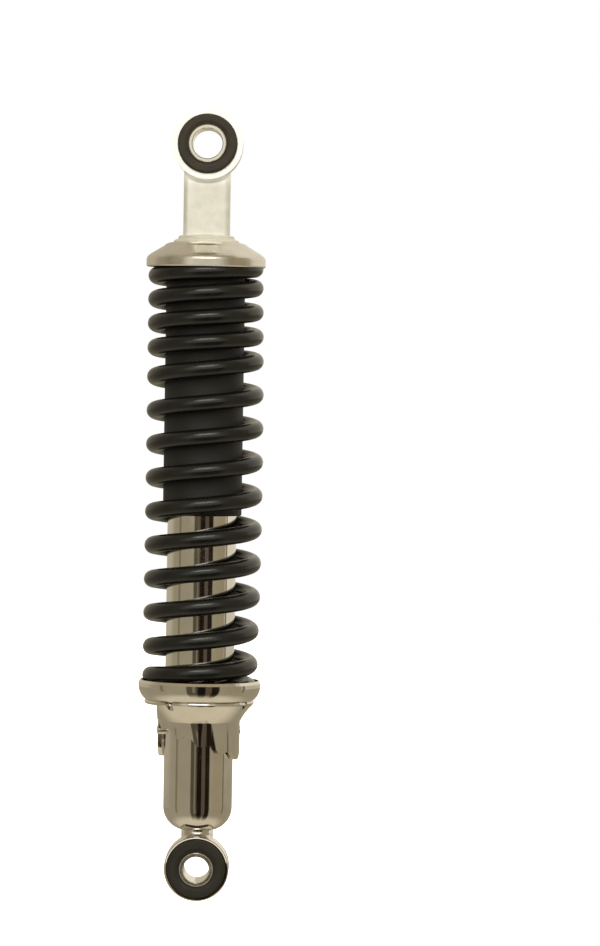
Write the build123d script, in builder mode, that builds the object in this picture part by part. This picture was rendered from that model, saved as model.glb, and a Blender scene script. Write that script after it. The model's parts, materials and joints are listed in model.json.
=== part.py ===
"""Motorcycle rear shock absorber: twin-tube damper, coil spring and a stepped preload cam.

Frame: millimetres, +Z up along the damper axis, origin at the centre of the lower eye bore.
Both eye bores run along Y. The model stands at full extension, on the softest preload step.
"""

import os
from math import cos, hypot, radians, sin

from build123d import *

os.makedirs("parts", exist_ok=True)

# ---------------------------------------------------------------- driving dimensions
EYE_TO_EYE = 340.0
STROKE = 66.0

EYE_WIDTH = 18.0            # metal width of both eyes, along Y
SLEEVE_LENGTH = 24.0
BUSH_LENGTH = 22.6          # rubber over its two flanges
BUSH_WALL_R = 12.2          # rubber outside, inside the eye
UPPER_FLANGE_R = 14.0       # rubber flange that shows round each eye
LOWER_FLANGE_R = 13.5
SLEEVE_GAP = 0.05           # sleeve to rubber, radial
UPPER_EYE_R = 16.6
UPPER_SLEEVE_R = 8.8
UPPER_BORE_R = 7.05
LOWER_EYE_R = 15.2
LOWER_SLEEVE_R = 7.9
LOWER_BORE_R = 6.05
STEM_R = 7.5                # lower eye stem, welded through the tube bottom

TUBE_R = 16.2
TUBE_WALL = 1.6
TUBE_BOTTOM = 17.6
TUBE_TOP = 184.0
TUBE_CORNER_R = 11.0        # rounding of the closed end
TUBE_BORE_R = TUBE_R - TUBE_WALL
STEM_TOP = 20.4

ROD_R = 5.0
ROD_THREAD_R = 4.0
ROD_FIT = 0.04              # rod to guide bush and seal, radial
CYLINDER_BORE_R = 10.25
CYLINDER_R = 11.5
CYLINDER_BOTTOM = 27.0
CYLINDER_TOP = 168.0
GUIDE_BOTTOM = 163.0
GUIDE_TOP = 174.0
SEAL_TOP = 180.0
SEAL_WASHER_TOP = 181.5
GLAND_TOP = 187.0
PISTON_SHOULDER = 150.0     # shoulder of the rod that the piston stack bears on

WIRE_R = 3.95
SPRING_R = 23.05            # radius of the wire's centre line
SPRING_BOTTOM = 82.2        # ground flat
SPRING_TOP = 282.4          # ground flat

SEAT_R = 28.7
SEAT_RIM_TOP = 88.4
SEAT_BORE_R = 16.8
SEAT_LEDGE = 79.2           # face that the collar's rim carries
SEAT_HUB_BOTTOM = 76.4

COLLAR_R = 19.3
COLLAR_BORE_R = 17.3
COLLAR_BOTTOM = 51.7
COLLAR_NECK = 69.0          # where the straight wall starts to flare
COLLAR_TOP = 79.0
FLARE_R = 25.8
STEP_ANGLE = 32.0           # turn from one preload step to the next
STEP_COUNT = 5
STEP_LIFT = 3.52
FIRST_STEP_ANGLE = 190.0    # azimuth of the softest notch and of its stop peg
FIRST_STEP_TOP = 69.6       # ceiling of the softest notch
PEG_R = 2.2
PEG_DROP = 2.6              # peg top below the notch ceiling, so that it clears the cusps

CAP_R = 28.0
CAP_RIM_BOTTOM = 282.4
CAP_RIM_TOP = 286.2
CAP_CEILING = 285.2         # flat underside that the spring pushes on
CAP_BORE_R = 8.0
FOOT_R = 15.4               # round foot of the upper eye
FOOT_BOTTOM = 291.0
NECK_WIDTH = 21.8
NECK_DEPTH = 13.0
NECK_CORNER = 2.6

DUST_R = 18.5
DUST_WALL = 1.3
DUST_BOTTOM = 166.0
DUST_FLANGE_R = 25.6

THRUST_GAP = 0.2            # between faces that slide on each other


def on_eye_wall(edge, height, wall_r):
    """True for an edge on an eye's round outer wall, between its two end faces."""
    places = [edge.position_at(0.1), edge.position_at(0.5), edge.position_at(0.9)]
    return all(
        abs(hypot(place.X, place.Z - height) - wall_r) < 0.01 and abs(place.Y) < EYE_WIDTH / 2 - 0.1
        for place in places
    )


def save(part, name):
    part.label = name
    export_step(part, f"parts/{name}.step")


# ---------------------------------------------------------------- lower eye, welded to the tube
with BuildPart() as lower_eye:
    with BuildSketch(Plane.XZ):
        Circle(LOWER_EYE_R)
    extrude(amount=EYE_WIDTH / 2, both=True)
    with BuildSketch(Plane.XY):
        Circle(STEM_R)
    extrude(amount=STEM_TOP)
    fillet(lower_eye.edges().filter_by(lambda e: on_eye_wall(e, 0.0, LOWER_EYE_R)), radius=2.4)
    with BuildSketch(Plane.XZ):
        Circle(BUSH_WALL_R)
    extrude(amount=EYE_WIDTH, both=True, mode=Mode.SUBTRACT)
    rims = lower_eye.edges().filter_by(GeomType.CIRCLE).filter_by(lambda e: abs(e.center().Z) < 0.01)
    chamfer(rims, length=0.7)
save(lower_eye.part, "lower_eye")


# ---------------------------------------------------------------- rubber bushes and steel sleeves
def bush_section(sleeve_r, flange_r):
    """Half-section of a flanged rubber bush about the eye axis, dished towards the sleeve."""
    inner = sleeve_r + SLEEVE_GAP
    half_eye = EYE_WIDTH / 2
    half_bush = BUSH_LENGTH / 2
    crown = (inner + flange_r) / 2
    upper = [
        (BUSH_WALL_R, half_eye),
        (flange_r, half_eye),
        (flange_r, half_eye + 0.9),
        (crown + 1.4, half_bush),
        (crown - 0.6, half_bush),
        (inner, half_bush - 0.8),
    ]
    lower = [(r, -y) for r, y in reversed(upper)]
    return upper + lower


def make_bush(height, sleeve_r, flange_r):
    with BuildPart(Plane((0, 0, height))) as bush:
        with BuildSketch(Plane.XY.offset(height)):
            with BuildLine():
                Polyline(*bush_section(sleeve_r, flange_r), close=True)
            make_face()
        revolve(axis=Axis((0, 0, height), (0, 1, 0)))
        outer = bush.edges().filter_by(GeomType.CIRCLE)
        fillet(outer.filter_by(lambda e: abs(abs(e.center().Y) - EYE_WIDTH / 2 - 0.9) < 0.01), radius=0.8)
    return bush.part


def make_sleeve(height, outer, inner):
    with BuildPart() as sleeve:
        with BuildSketch(Plane.XZ.offset(-SLEEVE_LENGTH / 2)):
            with Locations((0, height)):
                Circle(outer)
                Circle(inner, mode=Mode.SUBTRACT)
        extrude(amount=SLEEVE_LENGTH)
        chamfer(sleeve.edges().filter_by(GeomType.CIRCLE), length=0.35)
    return sleeve.part


save(make_bush(0.0, LOWER_SLEEVE_R, LOWER_FLANGE_R), "lower_bush")
save(make_bush(EYE_TO_EYE, UPPER_SLEEVE_R, UPPER_FLANGE_R), "upper_bush")
save(make_sleeve(0.0, LOWER_SLEEVE_R, LOWER_BORE_R), "lower_sleeve")
save(make_sleeve(EYE_TO_EYE, UPPER_SLEEVE_R, UPPER_BORE_R), "upper_sleeve")

# ---------------------------------------------------------------- damper tube with its closed round end
with BuildPart() as damper_tube:
    corner_r = TUBE_R - TUBE_CORNER_R
    corner_z = TUBE_BOTTOM + TUBE_CORNER_R
    with BuildSketch(Plane.XZ):
        with BuildLine():
            Line((0, TUBE_BOTTOM), (corner_r, TUBE_BOTTOM))
            CenterArc((corner_r, corner_z), TUBE_CORNER_R, -90, 90)
            Line((TUBE_R, corner_z), (TUBE_R, TUBE_TOP))
            Line((TUBE_R, TUBE_TOP), (0, TUBE_TOP))
            Line((0, TUBE_TOP), (0, TUBE_BOTTOM))
        make_face()
        with BuildLine():
            floor_z = TUBE_BOTTOM + TUBE_WALL
            Line((0, floor_z), (corner_r, floor_z))
            CenterArc((corner_r, corner_z), TUBE_CORNER_R - TUBE_WALL, -90, 90)
            Line((TUBE_BORE_R, corner_z), (TUBE_BORE_R, TUBE_TOP))
            Line((TUBE_BORE_R, TUBE_TOP), (0, TUBE_TOP))
            Line((0, TUBE_TOP), (0, floor_z))
        make_face(mode=Mode.SUBTRACT)
    revolve(axis=Axis.Z)
    with Locations((0, 0, TUBE_BOTTOM)):
        Cylinder(STEM_R, STEM_TOP - TUBE_BOTTOM + 4, mode=Mode.SUBTRACT)
save(damper_tube.part, "damper_tube")

# ---------------------------------------------------------------- stop pegs for the preload cam
peg_angles = [FIRST_STEP_ANGLE, FIRST_STEP_ANGLE - 180]
peg_z = FIRST_STEP_TOP - PEG_DROP - PEG_R
with BuildPart() as preload_pegs:
    for angle in peg_angles:
        out = Vector(cos(radians(angle)), sin(radians(angle)), 0)
        with BuildSketch(Plane(origin=out * (TUBE_R - 0.6) + Vector(0, 0, peg_z), z_dir=out)):
            Circle(PEG_R)
        extrude(amount=COLLAR_R + 0.4 - TUBE_R + 0.6)
    with BuildSketch():
        Circle(TUBE_R)
    extrude(amount=TUBE_TOP, mode=Mode.SUBTRACT)
    peg_tips = preload_pegs.faces().filter_by(GeomType.PLANE)
    chamfer(peg_tips.edges().filter_by(GeomType.CIRCLE), length=0.4)
save(preload_pegs.part, "preload_pegs")

# ---------------------------------------------------------------- inside the damper: cylinder and base valve
with BuildPart() as inner_cylinder:
    with BuildSketch(Plane.XY.offset(CYLINDER_BOTTOM)):
        Circle(CYLINDER_R)
        Circle(CYLINDER_BORE_R, mode=Mode.SUBTRACT)
    extrude(amount=CYLINDER_TOP - CYLINDER_BOTTOM)
save(inner_cylinder.part, "inner_cylinder")

VALVE_BOTTOM = 22.2
VALVE_TOP = 32.0
PIN_R = 1.5
with BuildPart() as base_valve_body:
    with BuildSketch(Plane.XZ):
        with BuildLine():
            Polyline(
                (PIN_R, VALVE_BOTTOM),
                (CYLINDER_R - 0.2, VALVE_BOTTOM),
                (CYLINDER_R, VALVE_BOTTOM + 1),
                (CYLINDER_R, CYLINDER_BOTTOM),
                (CYLINDER_BORE_R, CYLINDER_BOTTOM),
                (CYLINDER_BORE_R, VALVE_TOP),
                (PIN_R, VALVE_TOP),
                close=True,
            )
        make_face()
    revolve(axis=Axis.Z)
    with BuildSketch(Plane.XY.offset(VALVE_BOTTOM)):
        with PolarLocations(5.4, 6):
            Circle(1.1)
    extrude(amount=VALVE_TOP - VALVE_BOTTOM, mode=Mode.SUBTRACT)
    with BuildSketch(Plane.XY.offset(VALVE_BOTTOM)):
        for turn in (0, 90):
            SlotOverall(2 * CYLINDER_R + 4, 3.0, rotation=turn)
        Circle(4.0, mode=Mode.SUBTRACT)
    extrude(amount=2.2, mode=Mode.SUBTRACT)
save(base_valve_body.part, "base_valve_body")

with BuildPart() as base_valve_shim:
    with BuildSketch(Plane.XY.offset(VALVE_TOP)):
        Circle(7.4)
        Circle(PIN_R, mode=Mode.SUBTRACT)
    extrude(amount=0.5)
save(base_valve_shim.part, "base_valve_shim")

with BuildPart() as base_valve_pin:
    with BuildSketch(Plane.XZ):
        with BuildLine():
            Polyline(
                (0, STEM_TOP + 0.2),
                (2.8, STEM_TOP + 0.2),
                (2.8, VALVE_BOTTOM),
                (PIN_R, VALVE_BOTTOM),
                (PIN_R, VALVE_TOP + 0.5),
                (3.4, VALVE_TOP + 0.5),
                (3.4, VALVE_TOP + 1.6),
                (2.0, VALVE_TOP + 2.6),
                (0, VALVE_TOP + 2.6),
                close=True,
            )
        make_face()
    revolve(axis=Axis.Z)
save(base_valve_pin.part, "base_valve_pin")

# ---------------------------------------------------------------- top of the damper: guide, seal and gland
BUSHING_R = 6.3
O_RING_Z = 171.0
O_RING_R = 0.9
with BuildPart() as rod_guide:
    with BuildSketch(Plane.XZ):
        with BuildLine():
            Polyline(
                (BUSHING_R, GUIDE_BOTTOM),
                (CYLINDER_BORE_R - 0.8, GUIDE_BOTTOM),
                (CYLINDER_BORE_R, GUIDE_BOTTOM + 0.8),
                (CYLINDER_BORE_R, CYLINDER_TOP),
                (TUBE_BORE_R, CYLINDER_TOP),
                (TUBE_BORE_R, GUIDE_TOP),
                (BUSHING_R, GUIDE_TOP),
                close=True,
            )
        make_face()
        with Locations((TUBE_BORE_R, O_RING_Z)):
            Rectangle(2 * 2 * O_RING_R, 2 * O_RING_R, mode=Mode.SUBTRACT)
    revolve(axis=Axis.Z)
save(rod_guide.part, "rod_guide")

with BuildPart() as guide_o_ring:
    with BuildSketch(Plane.XZ):
        with Locations((TUBE_BORE_R - O_RING_R, O_RING_Z)):
            Circle(O_RING_R)
    revolve(axis=Axis.Z)
save(guide_o_ring.part, "guide_o_ring")

with BuildPart() as guide_bush:
    with BuildSketch(Plane.XY.offset(GUIDE_BOTTOM)):
        Circle(BUSHING_R)
        Circle(ROD_R + ROD_FIT, mode=Mode.SUBTRACT)
    extrude(amount=GUIDE_TOP - GUIDE_BOTTOM)
save(guide_bush.part, "guide_bush")

GARTER_CENTRE_R = 8.2
GARTER_Z = GUIDE_TOP + 2.4
GARTER_R = 0.7
with BuildPart() as oil_seal:
    with BuildSketch(Plane.XZ):
        with BuildLine():
            Polyline(
                (ROD_R + ROD_FIT, GUIDE_TOP + 1.4),
                (ROD_R + 1.2, GUIDE_TOP),
                (GARTER_CENTRE_R + 0.4, GUIDE_TOP),
                (GARTER_CENTRE_R + 0.4, GUIDE_TOP + 4.2),
                (TUBE_BORE_R - 2.2, GUIDE_TOP + 4.2),
                (TUBE_BORE_R - 2.2, GUIDE_TOP),
                (TUBE_BORE_R, GUIDE_TOP),
                (TUBE_BORE_R, SEAL_TOP),
                (ROD_R + 0.9, SEAL_TOP),
                (ROD_R + ROD_FIT, SEAL_TOP - 1.2),
                (ROD_R + ROD_FIT, SEAL_TOP - 2.2),
                (ROD_R + 1.0, SEAL_TOP - 3.0),
                close=True,
            )
        make_face()
        with Locations((GARTER_CENTRE_R + 0.4, GARTER_Z)):
            Circle(GARTER_R, mode=Mode.SUBTRACT)
    revolve(axis=Axis.Z)
save(oil_seal.part, "oil_seal")

with BuildPart() as seal_garter_spring:
    with BuildSketch(Plane.XZ):
        with Locations((GARTER_CENTRE_R + 0.4, GARTER_Z)):
            Circle(GARTER_R)
    revolve(axis=Axis.Z)
save(seal_garter_spring.part, "seal_garter_spring")

with BuildPart() as seal_washer:
    with BuildSketch(Plane.XY.offset(SEAL_TOP)):
        Circle(TUBE_BORE_R)
        Circle(ROD_R + 0.8, mode=Mode.SUBTRACT)
    extrude(amount=SEAL_WASHER_TOP - SEAL_TOP)
save(seal_washer.part, "seal_washer")

with BuildPart() as gland_nut:
    with BuildSketch(Plane.XZ):
        with BuildLine():
            Polyline(
                (ROD_R + 0.7, SEAL_WASHER_TOP),
                (TUBE_BORE_R, SEAL_WASHER_TOP),
                (TUBE_BORE_R, TUBE_TOP),
                (TUBE_R, TUBE_TOP),
                (TUBE_R, GLAND_TOP - 0.8),
                (TUBE_R - 0.8, GLAND_TOP),
                (ROD_R + 0.7, GLAND_TOP),
                close=True,
            )
        make_face()
    revolve(axis=Axis.Z)
    with BuildSketch(Plane.XY.offset(GLAND_TOP)):
        with PolarLocations(11.2, 4, start_angle=45):
            Circle(1.6)
    extrude(amount=-3.2, mode=Mode.SUBTRACT)
save(gland_nut.part, "gland_nut")

# ---------------------------------------------------------------- preload collar: two stepped cam lobes
mid_wall_r = (COLLAR_R + COLLAR_BORE_R) / 2
lift_per_degree = STEP_LIFT / STEP_ANGLE
CUSP_LEAD = 13.0            # degrees from a cusp to the notch after it
CUSP_FLAT = 1.0             # degrees of level underside to each side of a cusp's middle
CUSP_CLEAR = 0.25
NOTCH_ROUND = 1.2           # rounding of the notch corners and of the cusps
SHOULDER = 2.4              # level run past each cusp, where one notch's void meets the next
CUT_DEPTH = 30.0
CUT_START_R = 10.0          # the voids are cut outwards from here
CUT_LENGTH = 12.0
FIRST_WALL = 10.0           # degrees from the first notch back to the lobe's end wall
TIP_ANGLE = 353.0           # azimuth of the rounded corner where a lobe ends
TIP_RUN = 5.4
TIP_SIDE = 2.35
TIP_RISE = 5.6
TIP_ROUND = 7.6
SPANNER_ANGLE = -122.0      # first of the notches for a pin spanner
SPANNER_WIDTH = 3.6
SPANNER_DEPTH = 6.4
FLAT_DEPTH = 10.0
FLAT_TOP = 77.2             # the flat on the flare's left side ends under its rim


def around(degrees):
    """Distance across the mid wall, seen along a radius, of a point that many degrees away."""
    return mid_wall_r * sin(radians(degrees))


def cusp_height(degrees):
    """Height, relative to a notch's ceiling, of the cusp line that many degrees past it."""
    return -PEG_DROP + CUSP_CLEAR - lift_per_degree * degrees


def notch_outline(step):
    """Void under one notch, in the plane facing the notch, with its ceiling at height 0."""
    to_next = STEP_ANGLE - CUSP_LEAD
    right = (around(to_next - CUSP_FLAT), cusp_height(to_next))
    if step == STEP_COUNT - 1:
        right = (around(to_next), COLLAR_BOTTOM - (FIRST_STEP_TOP - step * STEP_LIFT))
    if step == 0:
        left = [(-around(FIRST_WALL), -CUT_DEPTH), (-around(FIRST_WALL), 0)]
    else:
        low = cusp_height(-CUSP_LEAD)
        cusp = -around(CUSP_LEAD - CUSP_FLAT)
        left = [(cusp - SHOULDER, -CUT_DEPTH), (cusp - SHOULDER, low), (cusp, low), (cusp * 0.45, 0)]
    return left + [(around(5), 0), right, (right[0] + SHOULDER, right[1]), (right[0] + SHOULDER, -CUT_DEPTH)]


with BuildPart() as preload_collar:
    with BuildSketch(Plane.XZ):
        with BuildLine():
            flare_low = (COLLAR_R, COLLAR_NECK)
            flare_high = (FLARE_R - 0.8, COLLAR_TOP - 2.2)
            ThreePointArc(flare_low, (FLARE_R - 4.0, COLLAR_TOP - 5.8), flare_high)
            Polyline(
                flare_high,
                (FLARE_R, COLLAR_TOP - 1.1),
                (FLARE_R, COLLAR_TOP - 0.4),
                (FLARE_R - 0.4, COLLAR_TOP),
                (FLARE_R - 1.6, COLLAR_TOP),
                (COLLAR_BORE_R, COLLAR_NECK + 2.0),
                (COLLAR_BORE_R, COLLAR_BOTTOM),
                (COLLAR_R, COLLAR_BOTTOM),
                flare_low,
            )
        make_face()
    revolve(axis=Axis.Z)
    for lobe in (0, 180):
        for step in range(STEP_COUNT):
            angle = FIRST_STEP_ANGLE + lobe + step * STEP_ANGLE
            top = FIRST_STEP_TOP - step * STEP_LIFT
            out = Vector(cos(radians(angle)), sin(radians(angle)), 0)
            across = Vector(-sin(radians(angle)), cos(radians(angle)), 0)
            face = Plane(origin=out * CUT_START_R + Vector(0, 0, top), x_dir=across, z_dir=out)
            with BuildSketch(face):
                with BuildLine():
                    FilletPolyline(*notch_outline(step), radius=NOTCH_ROUND, close=True)
                make_face()
            extrude(amount=CUT_LENGTH, mode=Mode.SUBTRACT)
        tip = radians(TIP_ANGLE + lobe)
        out = Vector(cos(tip), sin(tip), 0)
        across = Vector(-sin(tip), cos(tip), 0)
        tip_face = Plane(origin=out * CUT_START_R + Vector(0, 0, COLLAR_BOTTOM), x_dir=across, z_dir=out)
        with BuildSketch(tip_face):
            with BuildLine():
                start, end = (-TIP_RUN, 0), (TIP_SIDE, TIP_RISE)
                Polyline(start, (-TIP_RUN, -2), (TIP_SIDE + 5, -2), (TIP_SIDE + 5, TIP_RISE + 3),
                         (TIP_SIDE, TIP_RISE + 3), end)
                RadiusArc(end, start, TIP_ROUND)
            make_face()
        extrude(amount=CUT_LENGTH, mode=Mode.SUBTRACT)
    with BuildSketch(Plane.XY.offset(COLLAR_NECK + 1.4)):
        with PolarLocations(FLARE_R + 0.6, 4, start_angle=SPANNER_ANGLE):
            SlotOverall(SPANNER_DEPTH, SPANNER_WIDTH)
    extrude(amount=COLLAR_TOP, mode=Mode.SUBTRACT)
    with BuildSketch(Plane.XY.offset(COLLAR_NECK)):
        with Locations((-COLLAR_R - FLAT_DEPTH, 0)):
            Rectangle(2 * FLAT_DEPTH - 0.4, 60)
    extrude(amount=FLAT_TOP - COLLAR_NECK, mode=Mode.SUBTRACT)
save(preload_collar.part, "preload_collar")

# ---------------------------------------------------------------- lower spring seat, a turned bowl
with BuildPart() as lower_spring_seat:
    with BuildSketch(Plane.XZ):
        with BuildLine():
            hub = (SEAT_BORE_R + 1.6, SEAT_HUB_BOTTOM)
            ledge = (FLARE_R - 2.2, SEAT_LEDGE)
            bowl_low = (SEAT_R - 2.6, SEAT_LEDGE + 0.5)
            bowl_high = (SEAT_R, SEAT_LEDGE + 6.2)
            lip_low = (SEAT_R, SEAT_RIM_TOP - 1.3)
            inner_r = SEAT_R - 1.2
            Polyline((SEAT_BORE_R, SPRING_BOTTOM), (SEAT_BORE_R, SEAT_HUB_BOTTOM), hub)
            ThreePointArc(hub, (FLARE_R - 4.9, SEAT_LEDGE - 0.9), ledge)
            Polyline(ledge, (SEAT_R - 3.2, SEAT_LEDGE), bowl_low)
            ThreePointArc(bowl_low, (SEAT_R - 0.9, SEAT_LEDGE + 2.8), bowl_high)
            Line(bowl_high, lip_low)
            Polyline(
                lip_low,
                (SEAT_R - 0.7, SEAT_RIM_TOP),
                (inner_r, SEAT_RIM_TOP),
                (inner_r, SPRING_BOTTOM + 1.2),
                (inner_r - 0.4, SPRING_BOTTOM + 0.3),
                (inner_r - 0.8, SPRING_BOTTOM),
                (SEAT_BORE_R, SPRING_BOTTOM),
            )
        make_face()
    revolve(axis=Axis.Z)
save(lower_spring_seat.part, "lower_spring_seat")

# ---------------------------------------------------------------- main spring, coiled in four zones
# Each zone: first turn, last turn, rise of the centre line per turn.
zones = [(-0.15, 0.9, 10.0), (0.9, 10.0, 15.85), (10.0, 13.4, 11.4), (13.4, 14.25, 7.5)]
height = 83.9               # centre line where the first zone starts
with BuildPart() as main_spring:
    for first, last, pitch in zones:
        turns = last - first
        start = Plane(origin=(0, 0, height), x_dir=(cos(radians(360 * first)), sin(radians(360 * first)), 0))
        with BuildLine(start) as zone_path:
            Helix(pitch=pitch, height=pitch * turns, radius=SPRING_R)
        with BuildSketch(Plane(origin=zone_path.line @ 0, z_dir=zone_path.line % 0)):
            Circle(WIRE_R)
        sweep(path=zone_path.line, is_frenet=True)
        if first > 0:
            with Locations(start.location.position + start.x_dir * SPRING_R):
                Sphere(WIRE_R)
        height += pitch * turns
    with BuildSketch(Plane.XY.offset(SPRING_BOTTOM)):
        Circle(SPRING_R + 2 * WIRE_R)
    extrude(amount=SPRING_TOP - SPRING_BOTTOM, mode=Mode.INTERSECT)
save(main_spring.part, "main_spring")

# ---------------------------------------------------------------- upper spring cap, isolator and dust tube
with BuildPart() as upper_spring_cap:
    with BuildSketch(Plane.XZ):
        with BuildLine():
            Polyline(
                (CAP_BORE_R, CAP_CEILING),
                (CAP_R - 1.3, CAP_CEILING),
                (CAP_R - 1.3, CAP_RIM_BOTTOM),
                (CAP_R - 0.4, CAP_RIM_BOTTOM),
                (CAP_R, CAP_RIM_BOTTOM + 0.5),
                (CAP_R, CAP_RIM_TOP - 0.4),
                (CAP_R - 0.2, CAP_RIM_TOP + 0.4),
                (CAP_R - 0.8, CAP_RIM_TOP + 1.3),
                (CAP_R - 2.2, CAP_RIM_TOP + 2.4),
                (CAP_R - 8.2, CAP_RIM_TOP + 6.0),
                (CAP_R - 9.2, CAP_RIM_TOP + 6.9),
                (CAP_R - 10.6, CAP_RIM_TOP + 7.5),
                (CAP_R - 11.8, CAP_RIM_TOP + 7.7),
                (FOOT_R + 0.3, CAP_RIM_TOP + 7.5),
                (FOOT_R + 0.3, FOOT_BOTTOM - THRUST_GAP),
                (CAP_BORE_R, FOOT_BOTTOM - THRUST_GAP),
                close=True,
            )
        make_face()
    revolve(axis=Axis.Z)
save(upper_spring_cap.part, "upper_spring_cap")

ISOLATOR_TOP = 284.0
with BuildPart() as spring_isolator:
    with BuildSketch(Plane.XY.offset(SPRING_TOP)):
        Circle(DUST_FLANGE_R + 0.4)
        Circle(DUST_R + 0.5, mode=Mode.SUBTRACT)
    extrude(amount=ISOLATOR_TOP - SPRING_TOP)
save(spring_isolator.part, "spring_isolator")

with BuildPart() as dust_tube:
    with BuildSketch(Plane.XZ):
        with BuildLine():
            inner_r = DUST_R - DUST_WALL
            Polyline(
                (inner_r, DUST_BOTTOM),
                (DUST_R - 0.3, DUST_BOTTOM),
                (DUST_R, DUST_BOTTOM + 0.5),
                (DUST_R, ISOLATOR_TOP),
                (DUST_FLANGE_R, ISOLATOR_TOP),
                (DUST_FLANGE_R, CAP_CEILING),
                (inner_r, CAP_CEILING),
                close=True,
            )
        make_face()
    revolve(axis=Axis.Z)
save(dust_tube.part, "dust_tube")

# ---------------------------------------------------------------- upper eye: ring, flat neck and round foot
ROD_TOP = 296.5
NUT_TOP = 284.6
with BuildPart() as upper_eye:
    with BuildSketch(Plane.XZ):
        with Locations((0, EYE_TO_EYE)):
            Circle(UPPER_EYE_R)
    extrude(amount=EYE_WIDTH / 2, both=True)
    with BuildSketch(Plane.XY.offset(FOOT_BOTTOM)):
        RectangleRounded(NECK_WIDTH, NECK_DEPTH, NECK_CORNER)
    extrude(amount=EYE_TO_EYE - FOOT_BOTTOM)
    fillet(upper_eye.edges().filter_by(lambda e: on_eye_wall(e, EYE_TO_EYE, UPPER_EYE_R)), radius=2.2)
    with BuildSketch(Plane.XZ):
        with BuildLine():
            Polyline(
                (0, NUT_TOP),
                (CAP_BORE_R - 0.3, NUT_TOP),
                (CAP_BORE_R - 0.3, FOOT_BOTTOM),
                (FOOT_R, FOOT_BOTTOM),
                (FOOT_R, FOOT_BOTTOM + 3.4),
                (FOOT_R - 0.5, FOOT_BOTTOM + 4.0),
                (FOOT_R - 1.9, FOOT_BOTTOM + 4.5),
                (FOOT_R - 2.3, FOOT_BOTTOM + 4.9),
                (FOOT_R - 2.3, FOOT_BOTTOM + 5.6),
                (FOOT_R - 2.9, FOOT_BOTTOM + 6.1),
                (FOOT_R - 9.4, FOOT_BOTTOM + 7.2),
                (0, FOOT_BOTTOM + 7.2),
                close=True,
            )
        make_face()
    revolve(axis=Axis.Z)
    with BuildSketch(Plane.XZ):
        with Locations((0, EYE_TO_EYE)):
            Circle(BUSH_WALL_R)
    extrude(amount=EYE_WIDTH, both=True, mode=Mode.SUBTRACT)
    with BuildSketch(Plane.XY.offset(NUT_TOP)):
        Circle(ROD_R)
    extrude(amount=ROD_TOP - NUT_TOP, mode=Mode.SUBTRACT)
save(upper_eye.part, "upper_eye")

# ---------------------------------------------------------------- piston rod and what it carries
NUT_HEIGHT = 6.0
PISTON_TOP = 147.6
PISTON_BOTTOM = 138.0
PISTON_R = 9.85
RING_LOW = 140.4
RING_HIGH = 145.2
RING_INNER_R = 9.1
SHIM_THICKNESS = 0.3
SHIM_RADII = (9.2, 8.2, 7.2)
ROD_BOTTOM = 129.5
shims_bottom = PISTON_BOTTOM - SHIM_THICKNESS * len(SHIM_RADII)
with BuildPart() as piston_rod:
    with BuildSketch(Plane.XZ):
        with BuildLine():
            Polyline(
                (0, ROD_BOTTOM),
                (ROD_THREAD_R - 0.6, ROD_BOTTOM),
                (ROD_THREAD_R, ROD_BOTTOM + 0.6),
                (ROD_THREAD_R, PISTON_SHOULDER),
                (ROD_R, PISTON_SHOULDER),
                (ROD_R, ROD_TOP - 0.8),
                (ROD_R - 0.8, ROD_TOP),
                (0, ROD_TOP),
                close=True,
            )
        make_face()
    revolve(axis=Axis.Z)
save(piston_rod.part, "piston_rod")


def make_nut(across_flats, bore_r, low, high):
    with BuildPart() as nut:
        with BuildSketch(Plane.XY.offset(low)):
            RegularPolygon(across_flats / 2, 6, major_radius=False)
        extrude(amount=high - low)
        with BuildSketch(Plane.XZ):
            with BuildLine():
                corner = across_flats * 0.6
                Polyline((0, low), (across_flats / 2, low), (corner, low + 1.2), (corner, high - 1.2),
                         (across_flats / 2, high), (0, high), close=True)
            make_face()
        revolve(axis=Axis.Z, mode=Mode.INTERSECT)
        with BuildSketch(Plane.XY.offset(low)):
            Circle(bore_r)
        extrude(amount=high - low, mode=Mode.SUBTRACT)
    return nut.part


save(make_nut(17.0, ROD_R, NUT_TOP - NUT_HEIGHT, NUT_TOP), "rod_lock_nut")
save(make_nut(13.0, ROD_THREAD_R, shims_bottom - 6.2, shims_bottom), "piston_nut")

STOP_TOP = NUT_TOP - NUT_HEIGHT - 1.4
BUMP_BOTTOM = GLAND_TOP + STROKE + 0.3
with BuildPart() as bump_stop_washer:
    with BuildSketch(Plane.XY.offset(STOP_TOP)):
        Circle(12.5)
        Circle(ROD_R, mode=Mode.SUBTRACT)
    extrude(amount=1.4)
save(bump_stop_washer.part, "bump_stop_washer")

with BuildPart() as bump_stop:
    with BuildSketch(Plane.XZ):
        with BuildLine():
            Polyline(
                (ROD_R, BUMP_BOTTOM),
                (8.0, BUMP_BOTTOM),
                (9.0, BUMP_BOTTOM + 1.2),
                (9.6, BUMP_BOTTOM + 7.0),
                (8.6, BUMP_BOTTOM + 9.0),
                (8.6, BUMP_BOTTOM + 10.0),
                (11.0, BUMP_BOTTOM + 13.0),
                (11.6, STOP_TOP),
                (ROD_R, STOP_TOP),
                close=True,
            )
        make_face()
    revolve(axis=Axis.Z)
save(bump_stop.part, "bump_stop")

with BuildPart() as rebound_stop:
    with BuildSketch(Plane.XZ):
        with BuildLine():
            Polyline(
                (ROD_R, PISTON_SHOULDER),
                (8.4, PISTON_SHOULDER),
                (8.4, GUIDE_BOTTOM - 1.8),
                (7.4, GUIDE_BOTTOM - 0.6),
                (ROD_R, GUIDE_BOTTOM - 0.6),
                close=True,
            )
        make_face()
    revolve(axis=Axis.Z)
save(rebound_stop.part, "rebound_stop")

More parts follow.
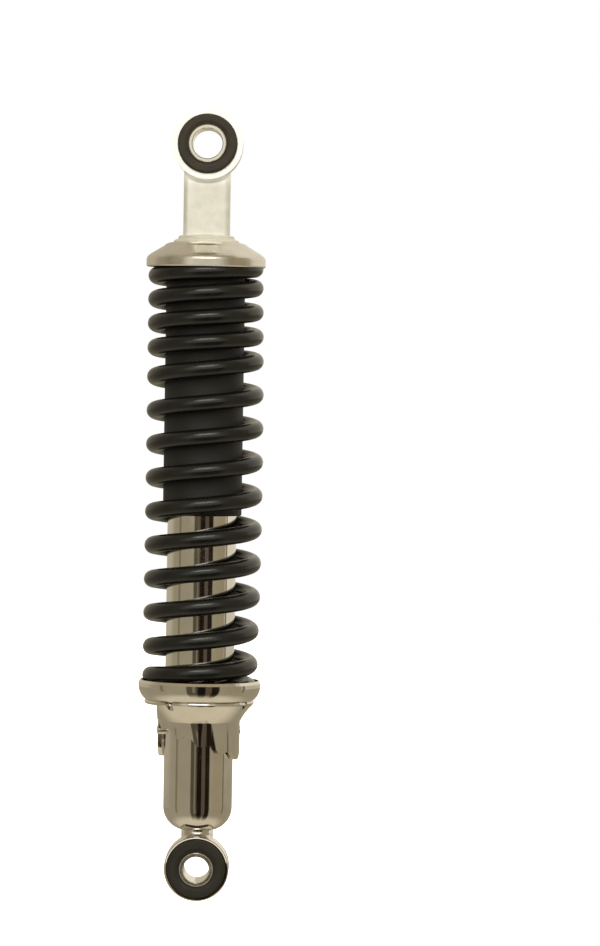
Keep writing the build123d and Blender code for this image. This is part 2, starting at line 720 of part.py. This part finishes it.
with BuildPart() as stop_plate:
    with BuildSketch(Plane.XY.offset(PISTON_SHOULDER - 1.8)):
        Circle(9.0)
        Circle(ROD_THREAD_R, mode=Mode.SUBTRACT)
    extrude(amount=1.8)
save(stop_plate.part, "stop_plate")

with BuildPart() as check_plate:
    with BuildSketch(Plane.XY.offset(PISTON_TOP)):
        Circle(9.2)
        Circle(ROD_THREAD_R, mode=Mode.SUBTRACT)
        with PolarLocations(5.6, 4):
            Circle(0.8, mode=Mode.SUBTRACT)
    extrude(amount=PISTON_SHOULDER - 1.8 - PISTON_TOP)
save(check_plate.part, "check_plate")

with BuildPart() as piston:
    with BuildSketch(Plane.XZ):
        with BuildLine():
            Polyline(
                (ROD_THREAD_R, PISTON_BOTTOM),
                (PISTON_R, PISTON_BOTTOM),
                (PISTON_R, RING_LOW),
                (RING_INNER_R, RING_LOW),
                (RING_INNER_R, RING_HIGH),
                (PISTON_R, RING_HIGH),
                (PISTON_R, PISTON_TOP),
                (ROD_THREAD_R, PISTON_TOP),
                close=True,
            )
        make_face()
    revolve(axis=Axis.Z)
    with BuildSketch(Plane.XY.offset(PISTON_BOTTOM)):
        with PolarLocations(6.9, 8):
            Circle(1.0)
    extrude(amount=PISTON_TOP - PISTON_BOTTOM, mode=Mode.SUBTRACT)
save(piston.part, "piston")

with BuildPart() as piston_ring:
    with BuildSketch(Plane.XY.offset(RING_LOW)):
        Circle(CYLINDER_BORE_R - 0.05)
        Circle(RING_INNER_R, mode=Mode.SUBTRACT)
    extrude(amount=RING_HIGH - RING_LOW)
save(piston_ring.part, "piston_ring")

with BuildPart() as rebound_shims:
    for index, shim_r in enumerate(SHIM_RADII):
        with BuildSketch(Plane.XY.offset(PISTON_BOTTOM - SHIM_THICKNESS * (index + 1))):
            Circle(shim_r)
            Circle(ROD_THREAD_R, mode=Mode.SUBTRACT)
        extrude(amount=SHIM_THICKNESS)
save(rebound_shims.part, "rebound_shims")
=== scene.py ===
"""Looks for a motorcycle rear shock absorber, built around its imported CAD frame.

Metres throughout, in the CAD frame: +Z runs up the damper from the centre of the lower eye's bore,
and the camera stands on the -Y side. Every CAD node gets a new surface, and two of them get rounded
edges. Only the spring is built here, so that its coils close up as the damper shortens.
"""

import json
import math

import bpy
import numpy as np
from mathutils import Matrix, Vector

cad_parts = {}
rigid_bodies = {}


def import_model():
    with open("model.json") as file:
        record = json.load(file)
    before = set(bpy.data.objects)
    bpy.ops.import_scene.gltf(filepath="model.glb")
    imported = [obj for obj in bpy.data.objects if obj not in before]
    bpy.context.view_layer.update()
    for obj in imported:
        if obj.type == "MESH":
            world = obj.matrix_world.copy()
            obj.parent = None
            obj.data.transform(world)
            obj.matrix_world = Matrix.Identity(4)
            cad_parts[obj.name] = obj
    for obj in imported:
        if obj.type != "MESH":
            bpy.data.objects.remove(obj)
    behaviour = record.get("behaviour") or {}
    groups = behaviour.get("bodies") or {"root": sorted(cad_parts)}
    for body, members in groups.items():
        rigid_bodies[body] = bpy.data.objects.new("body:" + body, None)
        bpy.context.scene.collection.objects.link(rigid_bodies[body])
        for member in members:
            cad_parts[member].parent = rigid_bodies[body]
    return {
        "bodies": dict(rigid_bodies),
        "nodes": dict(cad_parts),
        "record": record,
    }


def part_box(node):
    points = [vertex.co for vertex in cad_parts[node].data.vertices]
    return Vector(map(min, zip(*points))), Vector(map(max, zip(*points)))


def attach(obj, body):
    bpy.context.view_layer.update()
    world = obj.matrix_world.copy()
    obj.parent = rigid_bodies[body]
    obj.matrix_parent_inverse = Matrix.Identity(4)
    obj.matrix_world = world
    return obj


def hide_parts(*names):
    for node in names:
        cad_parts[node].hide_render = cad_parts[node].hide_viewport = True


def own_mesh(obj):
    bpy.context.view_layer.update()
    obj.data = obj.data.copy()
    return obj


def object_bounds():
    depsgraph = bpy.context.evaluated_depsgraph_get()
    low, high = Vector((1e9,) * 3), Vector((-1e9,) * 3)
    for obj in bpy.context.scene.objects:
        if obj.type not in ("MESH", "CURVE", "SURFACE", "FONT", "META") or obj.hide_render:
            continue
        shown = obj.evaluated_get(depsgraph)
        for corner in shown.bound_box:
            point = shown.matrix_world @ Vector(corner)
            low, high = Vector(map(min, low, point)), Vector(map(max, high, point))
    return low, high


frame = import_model()
cad_box = [list(corner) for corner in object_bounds()]

MM = 0.001


def srgb(red, green, blue):
    """Scene colour of a screen colour given in 0-255 steps."""
    steps = [channel / 255 for channel in (red, green, blue)]
    return tuple(s / 12.92 if s < 0.04045 else ((s + 0.055) / 1.055) ** 2.4 for s in steps) + (1.0,)


# ------------------------------------------------------------------------------ node-tree helpers
def add(tree, kind, inputs=None, **settings):
    """A new node. Its inputs are numbers, colours, or sockets to link from."""
    made = tree.nodes.new(kind)
    for name, value in settings.items():
        setattr(made, name, value)
    for name, value in (inputs or {}).items():
        if isinstance(value, bpy.types.NodeSocket):
            tree.links.new(value, made.inputs[name])
        else:
            made.inputs[name].default_value = value
    return made


def calc(tree, operation, *values):
    """One Math node's result."""
    return add(tree, "ShaderNodeMath", dict(enumerate(values)), operation=operation).outputs[0]


def remap(tree, value, from_low, from_high, to_low=0.0, to_high=1.0, smooth=False):
    """Value carried from one range to another, clamped."""
    made = add(
        tree,
        "ShaderNodeMapRange",
        {"Value": value, "From Min": from_low, "From Max": from_high, "To Min": to_low, "To Max": to_high},
        interpolation_type="SMOOTHSTEP" if smooth else "LINEAR",
    )
    return made.outputs["Result"]


def band(tree, value, low, high, soft_low, soft_high):
    """1 between low and high, falling to 0 over the soft widths outside them."""
    rise = remap(tree, value, low - soft_low, low, smooth=True)
    fall = remap(tree, value, high, high + soft_high, 1.0, 0.0, smooth=True)
    return calc(tree, "MULTIPLY", rise, fall)


def mix_colour(tree, factor, first, second):
    """The first colour at factor 0, the second at factor 1."""
    made = add(tree, "ShaderNodeMix", data_type="RGBA")
    for place, value in (("Factor", factor), ("A", first), ("B", second)):
        wanted = "Factor_Float" if place == "Factor" else f"{place}_Color"
        socket = next(s for s in made.inputs if s.identifier == wanted)
        if isinstance(value, bpy.types.NodeSocket):
            tree.links.new(value, socket)
        else:
            socket.default_value = value
    return next(s for s in made.outputs if s.identifier == "Result_Color")


# ------------------------------------------------------------------------------ surfaces
def new_surface(name, **constants):
    """A material with its shader's constant sockets set, and its tree and shader."""
    material = bpy.data.materials.new(name)
    material.use_nodes = True
    shader = material.node_tree.nodes["Principled BSDF"]
    for socket, value in constants.items():
        shader.inputs[socket.replace("_", " ")].default_value = value
    return material, material.node_tree, shader


def noise(tree, per_metre, stretch=(1.0, 1.0, 1.0), detail=3.0, roughness=0.5):
    """Noise fixed to the piece, with so many lumps to the metre along each axis before the stretch."""
    place = add(tree, "ShaderNodeTexCoord").outputs["Object"]
    if stretch != (1.0, 1.0, 1.0):
        place = add(tree, "ShaderNodeMapping", {"Vector": place, "Scale": stretch}).outputs["Vector"]
    made = add(
        tree,
        "ShaderNodeTexNoise",
        {"Vector": place, "Scale": per_metre, "Detail": detail, "Roughness": roughness},
    )
    return made.outputs["Fac"]


def rings(tree, per_metre):
    """Fine turning marks round the damper axis."""
    place = add(tree, "ShaderNodeTexCoord").outputs["Object"]
    made = add(
        tree,
        "ShaderNodeTexWave",
        {"Vector": place, "Scale": per_metre, "Distortion": 0.6, "Detail": 2.0, "Detail Scale": 1.0},
        wave_type="RINGS",
        rings_direction="Z",
    )
    return made.outputs["Fac"]


def bump(tree, shader, *layers):
    """Stacks (height, depth in metres) layers into the shader's normal."""
    normal = None
    for height, depth in layers:
        inputs = {"Height": height, "Distance": depth, "Strength": 1.0}
        if normal is not None:
            inputs["Normal"] = normal
        normal = add(tree, "ShaderNodeBump", inputs).outputs["Normal"]
    tree.links.new(normal, shader.inputs["Normal"])


NOISE_RANGE = (0.3, 0.7)     # nearly all of a noise's values lie in here


def colour_and_roughness(tree, shader, pattern, dark, light, smooth_end, rough_end):
    """Colour and roughness that both follow one pattern."""
    spread = remap(tree, pattern, *NOISE_RANGE)
    tree.links.new(mix_colour(tree, spread, dark, light), shader.inputs["Base Color"])
    tree.links.new(remap(tree, pattern, *NOISE_RANGE, smooth_end, rough_end), shader.inputs["Roughness"])


def object_height(tree):
    """Height on the piece, from its own origin."""
    place = add(tree, "ShaderNodeTexCoord").outputs["Object"]
    return add(tree, "ShaderNodeSeparateXYZ", {"Vector": place}).outputs["Z"]


RING_FOOT = 322 * MM         # where the upper eye's ring stands out of its neck
RING_BLEND = 3 * MM          # the painted brightening of the ring fades in over this much either side of it
# painted light: the top ring is coloured near white in place of the highlight it would catch from overhead
RING_PAINTED_LIGHT = srgb(252, 252, 249)


def chrome(name, dark, light, smooth_end, rough_end, ripple):
    """Bright plate: faint handling marks, a slow ripple and hairline polish."""
    material, tree, shader = new_surface(name, Metallic=1.0)
    smudges = noise(tree, 70, detail=5.0, roughness=0.6)
    colour_and_roughness(tree, shader, smudges, dark, light, smooth_end, rough_end)
    hairlines = noise(tree, 2400, stretch=(1.0, 1.0, 0.04), detail=2.0)
    bump(tree, shader, (noise(tree, 55, detail=1.0), ripple), (hairlines, 0.3e-6))
    return material


def cast_aluminium(name):
    """Satin casting: greyer blotched neck, a ring coloured brighter as painted light from above, shallow pits
    and linished lines.
    """
    material, tree, shader = new_surface(name, Metallic=0.62)
    blotches = noise(tree, 160, detail=6.0, roughness=0.6)
    colour_and_roughness(tree, shader, blotches, srgb(206, 204, 193), srgb(226, 224, 214), 0.34, 0.48)
    # painted highlight: above RING_FOOT the casting's colour is mixed towards near white
    painted_ring_light = remap(tree, object_height(tree), RING_FOOT - RING_BLEND, RING_FOOT + RING_BLEND, smooth=True)
    cast = shader.inputs["Base Color"].links[0].from_socket
    tree.links.new(mix_colour(tree, painted_ring_light, cast, RING_PAINTED_LIGHT), shader.inputs["Base Color"])
    grain = noise(tree, 1500, stretch=(1.0, 1.0, 0.12), detail=3.0)
    pits = remap(tree, noise(tree, 900, detail=2.0), 0.3, 0.42)
    bump(tree, shader, (grain, 9e-6), (pits, 16e-6), (blotches, 30e-6))
    return material


def polished_aluminium(name):
    """Bright turned aluminium with fine rings and a little haze."""
    material, tree, shader = new_surface(name, Metallic=1.0)
    haze = noise(tree, 110, detail=5.0, roughness=0.6)
    colour_and_roughness(tree, shader, haze, srgb(211, 207, 197), srgb(229, 225, 216), 0.2, 0.3)
    bump(tree, shader, (rings(tree, 190), 0.8e-6), (noise(tree, 60, detail=1.0), 6e-6))
    return material


def spring_black(name):
    """Satin black coating with orange peel and a few dull rubbed patches."""
    material, tree, shader = new_surface(name, IOR=1.5)
    patches = noise(tree, 45, detail=5.0, roughness=0.65)
    colour_and_roughness(tree, shader, patches, srgb(8, 9, 8), srgb(14, 15, 13), 0.2, 0.3)
    bump(tree, shader, (noise(tree, 650, detail=2.0), 22e-6), (noise(tree, 2600, detail=2.0), 4e-6))
    return material


def black_plastic(name):
    """Moulded plastic: fine spark-eroded texture and faint draw lines up the tube."""
    material, tree, shader = new_surface(name, IOR=1.46)
    patches = noise(tree, 60, stretch=(1.0, 1.0, 0.3), detail=4.0)
    colour_and_roughness(tree, shader, patches, srgb(18, 18, 17), srgb(28, 28, 26), 0.5, 0.68)
    bump(tree, shader, (noise(tree, 1800, detail=3.0), 12e-6), (noise(tree, 500, (1.0, 1.0, 0.02)), 6e-6))
    return material


LOW_DOWN_RUBBER = srgb(26, 24, 18)
DARKENING_HEIGHTS = (20 * MM, 60 * MM)   # fully darkened below the first, unchanged above the second


def rubber(name, dark, light, smooth_end, rough_end):
    """Moulded rubber: dull, with a grey bloom in soft patches and a fine grain. Low on the shock, where the
    lower bush sits, it is coloured darker."""
    material, tree, shader = new_surface(name, IOR=1.5)
    bloom = noise(tree, 130, detail=6.0, roughness=0.6)
    # the rubber's colour is mixed towards a darker tone towards the bottom of the shock
    low_down = remap(tree, object_height(tree), *DARKENING_HEIGHTS, 1.0, 0.0)
    dark = mix_colour(tree, low_down, dark, LOW_DOWN_RUBBER)
    light = mix_colour(tree, low_down, light, LOW_DOWN_RUBBER)
    colour_and_roughness(tree, shader, bloom, dark, light, smooth_end, rough_end)
    bump(tree, shader, (noise(tree, 1400, detail=3.0), 20e-6), (noise(tree, 240, detail=2.0), 40e-6))
    return material


def metal(name, dark, light, smooth_end, rough_end, per_metre, depth, stretch=(1.0, 1.0, 1.0)):
    """Plain machined, plated or sintered metal with its own grain."""
    material, tree, shader = new_surface(name, Metallic=1.0)
    tone = noise(tree, 220, detail=5.0, roughness=0.6)
    colour_and_roughness(tree, shader, tone, dark, light, smooth_end, rough_end)
    bump(tree, shader, (noise(tree, per_metre, stretch, detail=3.0), depth))
    return material


def nylon(name):
    """Natural nylon: waxy, slightly see-through at the edges."""
    material, tree, shader = new_surface(name, Subsurface_Weight=0.2, Subsurface_Scale=0.002)
    cloud = noise(tree, 150, detail=4.0)
    colour_and_roughness(tree, shader, cloud, srgb(205, 196, 170), srgb(226, 219, 198), 0.38, 0.5)
    bump(tree, shader, (noise(tree, 900, detail=3.0), 10e-6))
    return material


ALONG_BORE = (1.0, 0.05, 1.0)        # grain drawn out along the eye bores
ROUND_AXIS = (0.05, 0.05, 1.0)       # grain drawn out round the damper axis
ZINC = srgb(222, 218, 206), srgb(240, 237, 228)
STEEL = srgb(160, 160, 158), srgb(188, 188, 186)
surfaces = {
    "chrome_steel": chrome("chrome", srgb(218, 214, 205), srgb(231, 228, 221), 0.03, 0.085, 9e-6),
    "cast_aluminium": cast_aluminium("satin_cast_aluminium"),
    "polished_aluminium": polished_aluminium("turned_aluminium"),
    "spring_black": spring_black("spring_coating"),
    "black_plastic": black_plastic("dust_tube_plastic"),
    "rubber": rubber("bush_rubber", srgb(32, 28, 22), srgb(50, 45, 36), 0.58, 0.78),
    "seal_rubber": rubber("seal_rubber", srgb(24, 24, 24), srgb(38, 38, 37), 0.45, 0.6),
    "zinc_steel": metal("zinc_plate", *ZINC, 0.14, 0.24, 1600, 3e-6, ALONG_BORE),
    "bare_steel": metal("machined_steel", *STEEL, 0.22, 0.36, 1800, 3e-6, ROUND_AXIS),
    "hard_chrome": chrome("ground_chrome", srgb(220, 220, 218), srgb(232, 232, 230), 0.05, 0.1, 2e-6),
    "sintered_iron": metal("sintered_iron", srgb(92, 89, 86), srgb(128, 124, 119), 0.5, 0.68, 2600, 20e-6),
    "bearing_bronze": metal("bearing_bronze", srgb(150, 112, 66), srgb(184, 142, 88), 0.34, 0.5, 2200, 10e-6),
    "nylon": nylon("nylon"),
}
for subpart in frame["record"]["subparts"]:
    mesh = frame["nodes"][subpart["node"]].data
    mesh.materials.clear()
    mesh.materials.append(surfaces[subpart["material_slot"]])
    mesh.polygons.foreach_set("material_index", np.zeros(len(mesh.polygons), np.int32))

# ------------------------------------------------------------------------------ rounded edges
JOIN_WITHIN = 0.001 * MM     # CAD faces come unjoined, so their shared points are merged first
SHARP_FROM = math.radians(50)
ROUND_SEGMENTS = 3


def round_edges(node, width, clamped):
    """Rounds the sharp edges of a CAD node, so that they catch the light. Clamped keeps the rounding
    from crossing short edges."""
    weld = frame["nodes"][node].modifiers.new("joined_faces", "WELD")
    weld.merge_threshold = JOIN_WITHIN
    bevel = frame["nodes"][node].modifiers.new("rounded_edges", "BEVEL")
    bevel.width = width
    bevel.segments = ROUND_SEGMENTS
    bevel.use_clamp_overlap = clamped
    bevel.limit_method = "ANGLE"
    bevel.angle_limit = SHARP_FROM


round_edges("preload_collar", 0.4 * MM, True)
round_edges("lower_eye", 0.9 * MM, False)

# ------------------------------------------------------------------------------ main spring
WIRE_R = 3.95 * MM
COIL_R = 23.05 * MM
OPEN_PITCH = 15.85 * MM
CLOSE_PITCH = 11.4 * MM
FIRST_HEIGHT = 83.9 * MM     # wire centre where the spring starts
TURNS = (-0.15, 0.9, 10.0, 13.4, 14.25)
PITCHES = (10.0 * MM, OPEN_PITCH, CLOSE_PITCH, 7.5 * MM)
STEPS_PER_TURN = 72
WIRE_SIDES = 28
BLEND_TURNS = 0.2            # the pitch changes gradually over this share of a turn
SMOOTH_UP_TO = math.radians(35)
OPEN_ACTIVE = (1.0, 10.0)    # turns of the open and the close coils that close up under load
CLOSE_ACTIVE = (10.0, 13.0)
SWELL = 0.6 * MM             # the middle coils stand this much wider than the ends
BOW = 0.7 * MM               # and lie this much to the right
OPEN_GAP = OPEN_PITCH - 2 * WIRE_R
CLOSE_GAP = CLOSE_PITCH - 2 * WIRE_R


def spring_heights(turns):
    """Height of the wire's centre at each turn, with the changes of pitch blended."""
    knots = [FIRST_HEIGHT]
    for first, last, pitch in zip(TURNS, TURNS[1:], PITCHES):
        knots.append(knots[-1] + (last - first) * pitch)
    window = int(BLEND_TURNS * STEPS_PER_TURN) | 1
    straight = np.interp(turns, TURNS, knots)
    padded = np.pad(straight, window // 2, mode="reflect", reflect_type="odd")
    return np.convolve(padded, np.ones(window) / window, mode="valid")


def wire_points(turns, low, high):
    """Rings of points round the wire, one ring to each turn value, cut off at both planes."""
    heights = spring_heights(turns)
    angle = 2 * np.pi * turns
    outward = np.stack([np.cos(angle), np.sin(angle), np.zeros(len(turns))], axis=1)
    middle = np.sin(np.pi * (heights - low) / (high - low))
    centre = outward * (COIL_R + SWELL * middle)[:, None]
    centre[:, 0] += BOW * middle
    centre[:, 2] = heights
    along = np.gradient(centre, axis=0)
    along /= np.linalg.norm(along, axis=1)[:, None]
    across = np.cross(along, outward)
    side = 2 * np.pi * np.arange(WIRE_SIDES) / WIRE_SIDES
    ring = outward[:, None] * np.cos(side)[None, :, None] + across[:, None] * np.sin(side)[None, :, None]
    points = (centre[:, None] + WIRE_R * ring).reshape(-1, 3)
    points[:, 2] = np.clip(points[:, 2], low, high)
    return points


def wire_faces(count):
    """Skin over the wire's rings, closed at both ends."""
    faces = []
    for step in range(count - 1):
        for corner in range(WIRE_SIDES):
            after = (corner + 1) % WIRE_SIDES
            here, there = step * WIRE_SIDES, (step + 1) * WIRE_SIDES
            faces.append((here + corner, here + after, there + after, there + corner))
    faces.append(tuple(reversed(range(WIRE_SIDES))))
    faces.append(tuple(range((count - 1) * WIRE_SIDES, count * WIRE_SIDES)))
    return faces


def build_spring(low, high):
    """The coiled wire, with both ends ground flat at the low and high planes."""
    count = round((TURNS[-1] - TURNS[0]) * STEPS_PER_TURN) + 1
    turns = np.linspace(TURNS[0], TURNS[-1], count)
    points = wire_points(turns, low, high)
    mesh = bpy.data.meshes.new("main_spring_coils")
    mesh.from_pydata(points.tolist(), [], wire_faces(count))
    mesh.flip_normals()
    mesh.shade_smooth()
    mesh.set_sharp_from_angle(angle=SMOOTH_UP_TO)
    spring = bpy.data.objects.new("main_spring_coils", mesh)
    bpy.context.scene.collection.objects.link(spring)
    per_point = np.repeat(turns, WIRE_SIDES)
    shares = {
        "open_turns_below": np.clip(per_point, *OPEN_ACTIVE) - OPEN_ACTIVE[0],
        "close_turns_below": np.clip(per_point, *CLOSE_ACTIVE) - CLOSE_ACTIVE[0],
    }
    for name, values in shares.items():
        mesh.attributes.new(name, "FLOAT", "POINT").data.foreach_set("value", values.astype(np.float32))
    rest = mesh.attributes.new("rest_place", "FLOAT_VECTOR", "POINT")
    rest.data.foreach_set("vector", points.astype(np.float32).ravel())
    return spring


def close_coils(spring, cap_body):
    """Lets the coils close up as the cap's body nears the spring: the close coils bind first."""
    tree = bpy.data.node_groups.new("close_coils", "GeometryNodeTree")
    tree.interface.new_socket("Geometry", in_out="INPUT", socket_type="NodeSocketGeometry")
    tree.interface.new_socket("Geometry", in_out="OUTPUT", socket_type="NodeSocketGeometry")
    source = add(tree, "NodeGroupInput")
    result = add(tree, "NodeGroupOutput")
    cap = add(tree, "GeometryNodeObjectInfo", {"Object": cap_body}, transform_space="RELATIVE")
    height = add(tree, "ShaderNodeSeparateXYZ", {"Vector": cap.outputs["Location"]}).outputs["Z"]
    travel = calc(tree, "MULTIPLY", height, -1.0)
    open_turns = OPEN_ACTIVE[1] - OPEN_ACTIVE[0]
    close_turns = CLOSE_ACTIVE[1] - CLOSE_ACTIVE[0]
    all_coils = calc(tree, "DIVIDE", travel, open_turns + close_turns)
    past_binding = calc(tree, "DIVIDE", calc(tree, "SUBTRACT", travel, CLOSE_GAP * close_turns), open_turns)
    per_turn = calc(tree, "MAXIMUM", calc(tree, "MAXIMUM", all_coils, past_binding), 0.0)
    sink = 0.0
    for name, gap in (("open_turns_below", OPEN_GAP), ("close_turns_below", CLOSE_GAP)):
        turns_below = add(tree, "GeometryNodeInputNamedAttribute", {"Name": name}, data_type="FLOAT")
        closed = calc(tree, "MINIMUM", per_turn, gap)
        sink = calc(tree, "ADD", calc(tree, "MULTIPLY", turns_below.outputs["Attribute"], closed), sink)
    drop = add(tree, "ShaderNodeCombineXYZ", {"Z": calc(tree, "MULTIPLY", sink, -1.0)}).outputs["Vector"]
    rest = add(tree, "GeometryNodeInputNamedAttribute", {"Name": "rest_place"}, data_type="FLOAT_VECTOR")
    moved = add(
        tree,
        "GeometryNodeSetPosition",
        {"Geometry": source.outputs[0], "Position": rest.outputs["Attribute"], "Offset": drop},
    )
    tree.links.new(moved.outputs["Geometry"], result.inputs[0])
    spring.modifiers.new("close_coils", "NODES").node_group = tree


spring_low, spring_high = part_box("main_spring")
spring = build_spring(spring_low.z, spring_high.z)
spring.data.materials.append(surfaces["spring_black"])
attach(spring, "spring_seat")
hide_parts("main_spring")
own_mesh(spring)
close_coils(spring, frame["bodies"]["spring_cap"])

# ------------------------------------------------------------------------------ studio
CAMERA_DISTANCE = 2.0
CAMERA_HEIGHT = 0.235
AIM = Vector((0.0457, 0.0, 0.1865))
LENS = 161.9
SENSOR = 36.0
LEAN = math.radians(0.95)    # the shock leans this much to the right in the view
FLOOR_DROP = 0.045           # floor below the lowest point of the shock
FLOOR_SIZE = 6.0
FILL_AIM = (0.0, 0.0, 0.17)  # mid-height of the shock
FRONT_FILL = dict(place=(-0.5, -1.7, 0.9), size=1.2, power=36.0, tint=srgb(255, 253, 248))
RIGHT_FILL = dict(place=(1.5, -0.6, 0.6), size=1.0, power=12.0, tint=srgb(255, 252, 244))


def place_camera():
    """A long lens a little above the middle of the shock, looking slightly down."""
    data = bpy.data.cameras.new("camera")
    data.lens = LENS
    data.sensor_width = SENSOR
    camera = bpy.data.objects.new("camera", data)
    bpy.context.scene.collection.objects.link(camera)
    place = Vector((AIM.x, -CAMERA_DISTANCE, CAMERA_HEIGHT))
    look = (AIM - place).to_track_quat("-Z", "Y").to_matrix().to_4x4()
    camera.matrix_world = Matrix.Translation(place) @ look @ Matrix.Rotation(LEAN, 4, "Z")
    bpy.context.scene.camera = camera


def lay_floor(height):
    """A plain white floor, just bright enough to be as white as the background."""
    half = FLOOR_SIZE / 2
    mesh = bpy.data.meshes.new("floor")
    corners = [(-half, -half, height), (half, -half, height), (half, half, height), (-half, half, height)]
    mesh.from_pydata(corners, [], [(0, 1, 2, 3)])
    floor = bpy.data.objects.new("floor", mesh)
    bpy.context.scene.collection.objects.link(floor)
    material, _, _ = new_surface("floor_white", Roughness=0.8, Emission_Strength=1.0)
    shader = material.node_tree.nodes["Principled BSDF"]
    shader.inputs["Base Color"].default_value = (0.9, 0.9, 0.9, 1.0)
    shader.inputs["Emission Color"].default_value = (1.0, 1.0, 1.0, 1.0)
    mesh.materials.append(material)
    floor.visible_diffuse = False
    floor.visible_glossy = False
    floor.visible_shadow = False


# Each panel of the room round the shock: azimuth from the camera's side (right is positive) and
# elevation in degrees, the soft widths of its left, right, lower and upper edges, colour, strength.
ROOM_PANELS = [
    ((-180, 180), (-90, -58), (1, 1, 1, 28), srgb(218, 206, 180), 1.0),
    ((96, 180), (-2, 60), (12, 1, 4, 20), srgb(240, 232, 214), 1.0),
    ((-180, -124), (-2, 60), (1, 30, 6, 20), srgb(206, 196, 174), 0.9),
    ((-78, -74), (-18, 24), (3, 5, 6, 20), srgb(132, 120, 98), 1.0),
    ((60, 84), (-18, 24), (14, 6, 6, 20), srgb(160, 148, 122), 1.0),
    ((93, 96), (-18, 24), (2, 3, 6, 20), srgb(118, 104, 82), 1.0),
    ((-32, 30), (0, 24), (14, 14, 2, 10), srgb(252, 249, 236), 1.1),
    ((-22, 14), (33, 44), (2, 16, 3, 4), srgb(255, 251, 240), 6.0),
    ((-22, 39), (-30, -2), (3, 3, 38, 3), srgb(86, 78, 64), 1.0),
    ((-11, -8), (-24, -4), (2, 2, 4, 3), srgb(140, 130, 106), 0.9),
    ((-1, 13), (-30, -2), (3, 2, 38, 3), srgb(28, 22, 16), 1.0),
    ((14, 24), (-26, -2), (2, 2, 20, 3), srgb(92, 80, 68), 1.0),
    ((26, 38), (-30, -2), (2, 2, 38, 3), srgb(34, 27, 18), 1.0),
]
ROOM_WALL = srgb(162, 153, 131)
CEILING = srgb(176, 161, 134)


def build_room():
    """A beige room with a dark doorway and a window high up behind the camera, as the metal sees
    it. The camera itself sees plain white."""
    world = bpy.data.worlds.new("room")
    bpy.context.scene.world = world
    world.use_nodes = True
    tree = world.node_tree
    tree.nodes.clear()
    direction = add(tree, "ShaderNodeTexCoord").outputs["Generated"]
    axes = add(tree, "ShaderNodeSeparateXYZ", {"Vector": direction})
    side, depth, rise = (axes.outputs[axis] for axis in "XYZ")
    azimuth = calc(tree, "ARCTAN2", side, calc(tree, "MULTIPLY", depth, -1.0))
    elevation = calc(tree, "ARCSINE", rise)
    radians = math.radians
    upper = remap(tree, elevation, radians(20), radians(60), smooth=True)
    colour = mix_colour(tree, upper, ROOM_WALL, CEILING)
    for (left, right), (low, high), soft, tint, strength in ROOM_PANELS:
        across = band(tree, azimuth, radians(left), radians(right), radians(soft[0]), radians(soft[1]))
        up = band(tree, elevation, radians(low), radians(high), radians(soft[2]), radians(soft[3]))
        scaled = tuple(channel * strength for channel in tint[:3]) + (1.0,)
        colour = mix_colour(tree, calc(tree, "MULTIPLY", across, up), colour, scaled)
    room = add(tree, "ShaderNodeBackground", {"Color": colour, "Strength": 1.0})
    white = add(tree, "ShaderNodeBackground", {"Color": (1.0, 1.0, 1.0, 1.0), "Strength": 1.0})
    seen = add(tree, "ShaderNodeLightPath").outputs["Is Camera Ray"]
    mixed = add(tree, "ShaderNodeMixShader", {0: seen, 1: room.outputs[0], 2: white.outputs[0]})
    output = add(tree, "ShaderNodeOutputWorld")
    tree.links.new(mixed.outputs[0], output.inputs["Surface"])


def hang_softbox(name, place, size, power, tint):
    """A square soft light pointing at the shock, left out of its reflections."""
    data = bpy.data.lights.new(name, "AREA")
    data.energy = power
    data.color = tint[:3]
    data.size = size
    light = bpy.data.objects.new(name, data)
    bpy.context.scene.collection.objects.link(light)
    look = (Vector(FILL_AIM) - Vector(place)).to_track_quat("-Z", "Y").to_matrix().to_4x4()
    light.matrix_world = Matrix.Translation(place) @ look
    light.visible_glossy = False
    light.visible_camera = False


place_camera()
lay_floor(cad_box[0][2] - FLOOR_DROP)
build_room()
hang_softbox("front_fill", **FRONT_FILL)
hang_softbox("right_fill", **RIGHT_FILL)
bpy.context.scene.view_settings.view_transform = "Standard"
